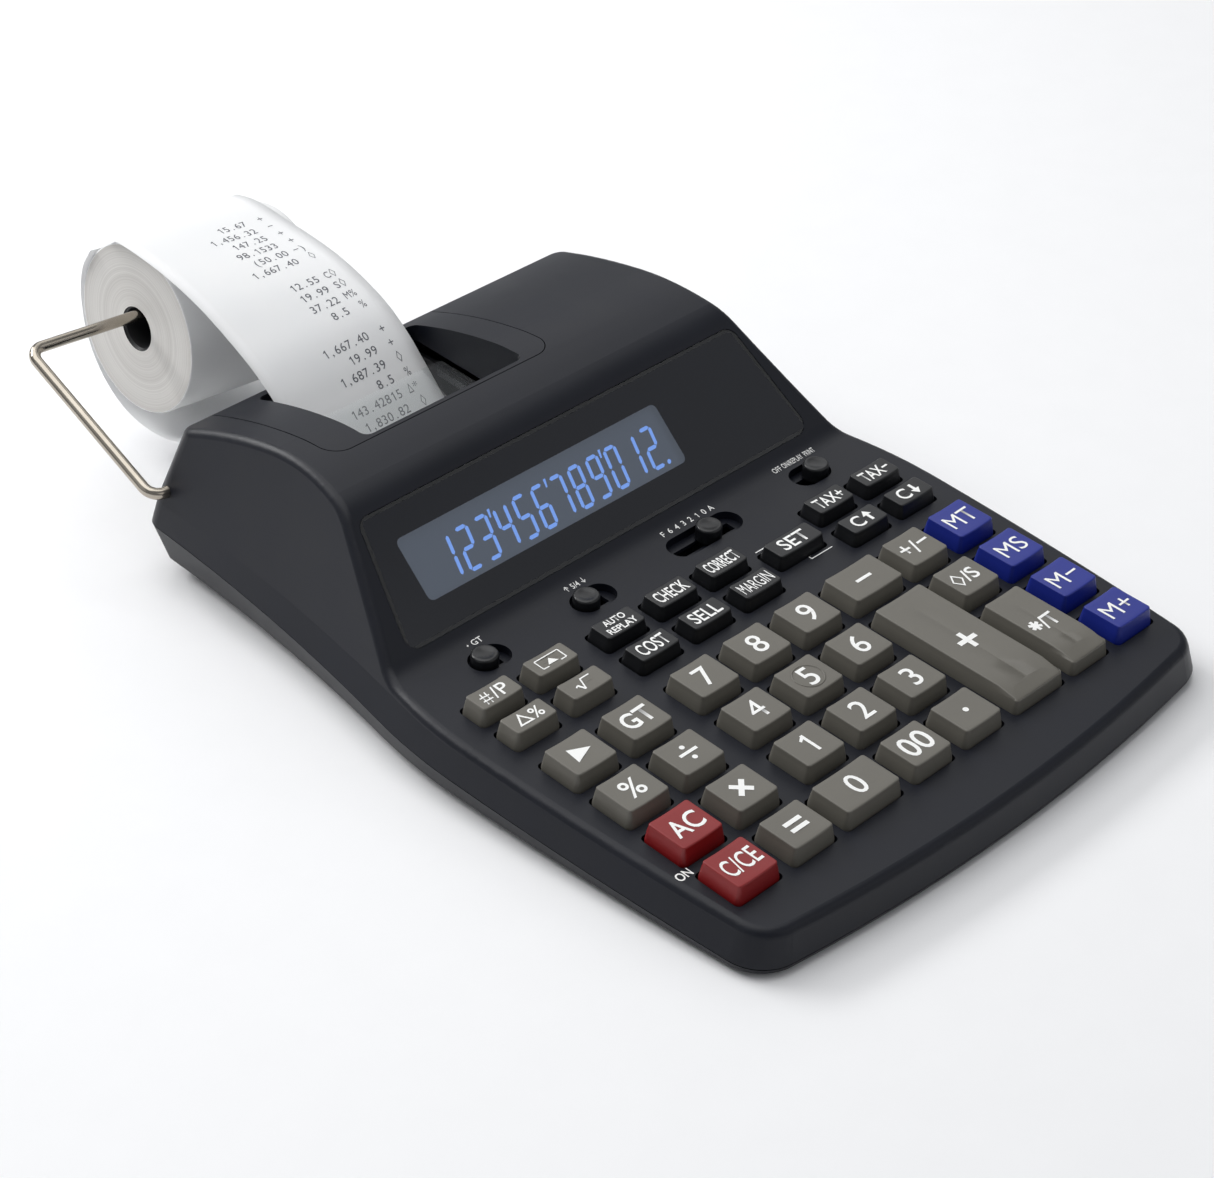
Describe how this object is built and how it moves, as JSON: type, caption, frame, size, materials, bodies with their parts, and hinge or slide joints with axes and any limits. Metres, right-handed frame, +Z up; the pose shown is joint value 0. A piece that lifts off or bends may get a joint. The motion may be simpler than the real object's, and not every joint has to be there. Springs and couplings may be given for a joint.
{
  "type": "desk printing calculator",
  "caption": "Desk calculator with a sloping display, slide switches, a sprung keyboard, and a thermal printer fed from a paper roll on a wire arm behind.",
  "frame": {"origin": "on the table under the middle of the whole calculator, roll included", "axes": "+Z up, +X to the user's right, +Y away from the user towards the paper roll"},
  "size_m": [0.2118, 0.3644, 0.0815],
  "materials": {
    "case_plastic": "fine spark-eroded texture, charcoal",
    "key_grey": "satin warm grey",
    "key_red": "satin dark red",
    "key_blue": "satin dark blue",
    "key_black": "satin black",
    "knob_black": "semi-gloss black",
    "smoked_window": "polished smoked acrylic",
    "clear_plastic": "clear, with a frosted edge",
    "plated_wire": "bright nickel plate",
    "paper": "smooth white thermal paper",
    "platen_rubber": "ground black rubber",
    "foot_rubber": "matte black",
    "works": "moulded black frame and green circuit board"
  },
  "bodies": {
    "calculator": {"top_cover": "case_plastic", "bottom_case": "case_plastic", "printer_cover": "case_plastic", "display_window": "smoked_window", "power_jack": "works", "tear_bar": "clear_plastic", "paper_arm": "plated_wire", "paper_tape": "paper", "printer_and_board": "works", "rubber_feet": "foot_rubber"},
    "paper_roll": {"paper_roll": "paper"},
    "platen_roller": {"platen_roller": "platen_rubber"},
    "key_item_count": {"key_item_count": "key_grey"},
    "key_percent_change": {"key_percent_change": "key_grey"},
    "key_paper_feed": {"key_paper_feed": "key_grey"},
    "key_square_root": {"key_square_root": "key_grey"},
    "key_auto_replay": {"key_auto_replay": "key_black"},
    "key_cost": {"key_cost": "key_black"},
    "key_check": {"key_check": "key_black"},
    "key_sell": {"key_sell": "key_black"},
    "key_correct": {"key_correct": "key_black"},
    "key_margin": {"key_margin": "key_black"},
    "key_tax_plus": {"key_tax_plus": "key_black"},
    "key_rate_up": {"key_rate_up": "key_black"},
    "key_tax_minus": {"key_tax_minus": "key_black"},
    "key_rate_down": {"key_rate_down": "key_black"},
    "key_backspace": {"key_backspace": "key_grey"},
    "key_percent": {"key_percent": "key_grey"},
    "key_all_clear": {"key_all_clear": "key_red"},
    "key_clear_entry": {"key_clear_entry": "key_red"},
    "key_grand_total": {"key_grand_total": "key_grey"},
    "key_divide": {"key_divide": "key_grey"},
    "key_multiply": {"key_multiply": "key_grey"},
    "key_equals": {"key_equals": "key_grey"},
    "key_7": {"key_7": "key_grey"},
    "key_4": {"key_4": "key_grey"},
    "key_1": {"key_1": "key_grey"},
    "key_8": {"key_8": "key_grey"},
    "key_5": {"key_5": "key_grey"},
    "key_2": {"key_2": "key_grey"},
    "key_00": {"key_00": "key_grey"},
    "key_9": {"key_9": "key_grey"},
    "key_6": {"key_6": "key_grey"},
    "key_3": {"key_3": "key_grey"},
    "key_decimal": {"key_decimal": "key_grey"},
    "key_sign": {"key_sign": "key_grey"},
    "key_subtotal": {"key_subtotal": "key_grey"},
    "key_memory_total": {"key_memory_total": "key_blue"},
    "key_memory_subtotal": {"key_memory_subtotal": "key_blue"},
    "key_memory_minus": {"key_memory_minus": "key_blue"},
    "key_memory_plus": {"key_memory_plus": "key_blue"},
    "key_0": {"key_0": "key_grey"},
    "key_set": {"key_set": "key_black"},
    "key_minus": {"key_minus": "key_grey"},
    "key_plus": {"key_plus": "key_grey"},
    "key_total": {"key_total": "key_grey"},
    "switch_grand_total": {"switch_grand_total": "knob_black"},
    "switch_rounding": {"switch_rounding": "knob_black"},
    "switch_decimals": {"switch_decimals": "knob_black"},
    "switch_power_print": {"switch_power_print": "knob_black"}
  },
  "joints": [
    {"name": "press_item_count", "type": "slide", "parent": "calculator", "child": "key_item_count", "axis": [0, 0.0592, -0.9982], "range_m": [0, 0.002], "stiffness_N_per_m": 300, "springref_m": -0.002},
    {"name": "press_percent_change", "type": "slide", "parent": "calculator", "child": "key_percent_change", "axis": [0, 0.0592, -0.9982], "range_m": [0, 0.002], "stiffness_N_per_m": 300, "springref_m": -0.002},
    {"name": "press_paper_feed", "type": "slide", "parent": "calculator", "child": "key_paper_feed", "axis": [0, 0.0592, -0.9982], "range_m": [0, 0.002], "stiffness_N_per_m": 300, "springref_m": -0.002},
    {"name": "press_square_root", "type": "slide", "parent": "calculator", "child": "key_square_root", "axis": [0, 0.0592, -0.9982], "range_m": [0, 0.002], "stiffness_N_per_m": 300, "springref_m": -0.002},
    {"name": "press_auto_replay", "type": "slide", "parent": "calculator", "child": "key_auto_replay", "axis": [0, 0.0592, -0.9982], "range_m": [0, 0.002], "stiffness_N_per_m": 300, "springref_m": -0.002},
    {"name": "press_cost", "type": "slide", "parent": "calculator", "child": "key_cost", "axis": [0, 0.0592, -0.9982], "range_m": [0, 0.002], "stiffness_N_per_m": 300, "springref_m": -0.002},
    {"name": "press_check", "type": "slide", "parent": "calculator", "child": "key_check", "axis": [0, 0.0592, -0.9982], "range_m": [0, 0.002], "stiffness_N_per_m": 300, "springref_m": -0.002},
    {"name": "press_sell", "type": "slide", "parent": "calculator", "child": "key_sell", "axis": [0, 0.0592, -0.9982], "range_m": [0, 0.002], "stiffness_N_per_m": 300, "springref_m": -0.002},
    {"name": "press_correct", "type": "slide", "parent": "calculator", "child": "key_correct", "axis": [0, 0.0592, -0.9982], "range_m": [0, 0.002], "stiffness_N_per_m": 300, "springref_m": -0.002},
    {"name": "press_margin", "type": "slide", "parent": "calculator", "child": "key_margin", "axis": [0, 0.0592, -0.9982], "range_m": [0, 0.002], "stiffness_N_per_m": 300, "springref_m": -0.002},
    {"name": "press_tax_plus", "type": "slide", "parent": "calculator", "child": "key_tax_plus", "axis": [0, 0.0592, -0.9982], "range_m": [0, 0.002], "stiffness_N_per_m": 300, "springref_m": -0.002},
    {"name": "press_rate_up", "type": "slide", "parent": "calculator", "child": "key_rate_up", "axis": [0, 0.0592, -0.9982], "range_m": [0, 0.002], "stiffness_N_per_m": 300, "springref_m": -0.002},
    {"name": "press_tax_minus", "type": "slide", "parent": "calculator", "child": "key_tax_minus", "axis": [0, 0.0592, -0.9982], "range_m": [0, 0.002], "stiffness_N_per_m": 300, "springref_m": -0.002},
    {"name": "press_rate_down", "type": "slide", "parent": "calculator", "child": "key_rate_down", "axis": [0, 0.0592, -0.9982], "range_m": [0, 0.002], "stiffness_N_per_m": 300, "springref_m": -0.002},
    {"name": "press_backspace", "type": "slide", "parent": "calculator", "child": "key_backspace", "axis": [0, 0.0592, -0.9982], "range_m": [0, 0.002], "stiffness_N_per_m": 300, "springref_m": -0.002},
    {"name": "press_percent", "type": "slide", "parent": "calculator", "child": "key_percent", "axis": [0, 0.0592, -0.9982], "range_m": [0, 0.002], "stiffness_N_per_m": 300, "springref_m": -0.002},
    {"name": "press_all_clear", "type": "slide", "parent": "calculator", "child": "key_all_clear", "axis": [0, 0.0592, -0.9982], "range_m": [0, 0.002], "stiffness_N_per_m": 300, "springref_m": -0.002},
    {"name": "press_clear_entry", "type": "slide", "parent": "calculator", "child": "key_clear_entry", "axis": [0, 0.0592, -0.9982], "range_m": [0, 0.002], "stiffness_N_per_m": 300, "springref_m": -0.002},
    {"name": "press_grand_total", "type": "slide", "parent": "calculator", "child": "key_grand_total", "axis": [0, 0.0592, -0.9982], "range_m": [0, 0.002], "stiffness_N_per_m": 300, "springref_m": -0.002},
    {"name": "press_divide", "type": "slide", "parent": "calculator", "child": "key_divide", "axis": [0, 0.0592, -0.9982], "range_m": [0, 0.002], "stiffness_N_per_m": 300, "springref_m": -0.002},
    {"name": "press_multiply", "type": "slide", "parent": "calculator", "child": "key_multiply", "axis": [0, 0.0592, -0.9982], "range_m": [0, 0.002], "stiffness_N_per_m": 300, "springref_m": -0.002},
    {"name": "press_equals", "type": "slide", "parent": "calculator", "child": "key_equals", "axis": [0, 0.0592, -0.9982], "range_m": [0, 0.002], "stiffness_N_per_m": 300, "springref_m": -0.002},
    {"name": "press_7", "type": "slide", "parent": "calculator", "child": "key_7", "axis": [0, 0.0592, -0.9982], "range_m": [0, 0.002], "stiffness_N_per_m": 300, "springref_m": -0.002},
    {"name": "press_4", "type": "slide", "parent": "calculator", "child": "key_4", "axis": [0, 0.0592, -0.9982], "range_m": [0, 0.002], "stiffness_N_per_m": 300, "springref_m": -0.002},
    {"name": "press_1", "type": "slide", "parent": "calculator", "child": "key_1", "axis": [0, 0.0592, -0.9982], "range_m": [0, 0.002], "stiffness_N_per_m": 300, "springref_m": -0.002},
    {"name": "press_8", "type": "slide", "parent": "calculator", "child": "key_8", "axis": [0, 0.0592, -0.9982], "range_m": [0, 0.002], "stiffness_N_per_m": 300, "springref_m": -0.002},
    {"name": "press_5", "type": "slide", "parent": "calculator", "child": "key_5", "axis": [0, 0.0592, -0.9982], "range_m": [0, 0.002], "stiffness_N_per_m": 300, "springref_m": -0.002},
    {"name": "press_2", "type": "slide", "parent": "calculator", "child": "key_2", "axis": [0, 0.0592, -0.9982], "range_m": [0, 0.002], "stiffness_N_per_m": 300, "springref_m": -0.002},
    {"name": "press_00", "type": "slide", "parent": "calculator", "child": "key_00", "axis": [0, 0.0592, -0.9982], "range_m": [0, 0.002], "stiffness_N_per_m": 300, "springref_m": -0.002},
    {"name": "press_9", "type": "slide", "parent": "calculator", "child": "key_9", "axis": [0, 0.0592, -0.9982], "range_m": [0, 0.002], "stiffness_N_per_m": 300, "springref_m": -0.002},
    {"name": "press_6", "type": "slide", "parent": "calculator", "child": "key_6", "axis": [0, 0.0592, -0.9982], "range_m": [0, 0.002], "stiffness_N_per_m": 300, "springref_m": -0.002},
    {"name": "press_3", "type": "slide", "parent": "calculator", "child": "key_3", "axis": [0, 0.0592, -0.9982], "range_m": [0, 0.002], "stiffness_N_per_m": 300, "springref_m": -0.002},
    {"name": "press_decimal", "type": "slide", "parent": "calculator", "child": "key_decimal", "axis": [0, 0.0592, -0.9982], "range_m": [0, 0.002], "stiffness_N_per_m": 300, "springref_m": -0.002},
    {"name": "press_sign", "type": "slide", "parent": "calculator", "child": "key_sign", "axis": [0, 0.0592, -0.9982], "range_m": [0, 0.002], "stiffness_N_per_m": 300, "springref_m": -0.002},
    {"name": "press_subtotal", "type": "slide", "parent": "calculator", "child": "key_subtotal", "axis": [0, 0.0592, -0.9982], "range_m": [0, 0.002], "stiffness_N_per_m": 300, "springref_m": -0.002},
    {"name": "press_memory_total", "type": "slide", "parent": "calculator", "child": "key_memory_total", "axis": [0, 0.0592, -0.9982], "range_m": [0, 0.002], "stiffness_N_per_m": 300, "springref_m": -0.002},
    {"name": "press_memory_subtotal", "type": "slide", "parent": "calculator", "child": "key_memory_subtotal", "axis": [0, 0.0592, -0.9982], "range_m": [0, 0.002], "stiffness_N_per_m": 300, "springref_m": -0.002},
    {"name": "press_memory_minus", "type": "slide", "parent": "calculator", "child": "key_memory_minus", "axis": [0, 0.0592, -0.9982], "range_m": [0, 0.002], "stiffness_N_per_m": 300, "springref_m": -0.002},
    {"name": "press_memory_plus", "type": "slide", "parent": "calculator", "child": "key_memory_plus", "axis": [0, 0.0592, -0.9982], "range_m": [0, 0.002], "stiffness_N_per_m": 300, "springref_m": -0.002},
    {"name": "press_0", "type": "slide", "parent": "calculator", "child": "key_0", "axis": [0, 0.0592, -0.9982], "range_m": [0, 0.002], "stiffness_N_per_m": 300, "springref_m": -0.002},
    {"name": "press_set", "type": "slide", "parent": "calculator", "child": "key_set", "axis": [0, 0.0592, -0.9982], "range_m": [0, 0.002], "stiffness_N_per_m": 300, "springref_m": -0.002},
    {"name": "press_minus", "type": "slide", "parent": "calculator", "child": "key_minus", "axis": [0, 0.0592, -0.9982], "range_m": [0, 0.002], "stiffness_N_per_m": 300, "springref_m": -0.002},
    {"name": "press_plus", "type": "slide", "parent": "calculator", "child": "key_plus", "axis": [0, 0.0592, -0.9982], "range_m": [0, 0.002], "stiffness_N_per_m": 300, "springref_m": -0.002},
    {"name": "press_total", "type": "slide", "parent": "calculator", "child": "key_total", "axis": [0, 0.0592, -0.9982], "range_m": [0, 0.002], "stiffness_N_per_m": 300, "springref_m": -0.002},
    {"name": "slide_grand_total", "type": "slide", "parent": "calculator", "child": "switch_grand_total", "axis": [1, 0, 0], "range_m": [0, 0.004]},
    {"name": "slide_rounding", "type": "slide", "parent": "calculator", "child": "switch_rounding", "axis": [1, 0, 0], "range_m": [0, 0.006]},
    {"name": "slide_decimals", "type": "slide", "parent": "calculator", "child": "switch_decimals", "axis": [1, 0, 0], "range_m": [-0.0118, 0.0082]},
    {"name": "slide_power_print", "type": "slide", "parent": "calculator", "child": "switch_power_print", "axis": [1, 0, 0], "range_m": [-0.0052, 0]},
    {"name": "roll_turn", "type": "hinge", "parent": "calculator", "child": "paper_roll", "pos_m": [-0.052, 0.15116, 0.05142], "axis": [0.9945, 0.0062, -0.1043], "continuous": true},
    {"name": "platen_turn", "type": "hinge", "parent": "calculator", "child": "platen_roller", "pos_m": [-0.0225, 0.0614, 0.0245], "axis": [1, 0, 0], "continuous": true}
  ]
}
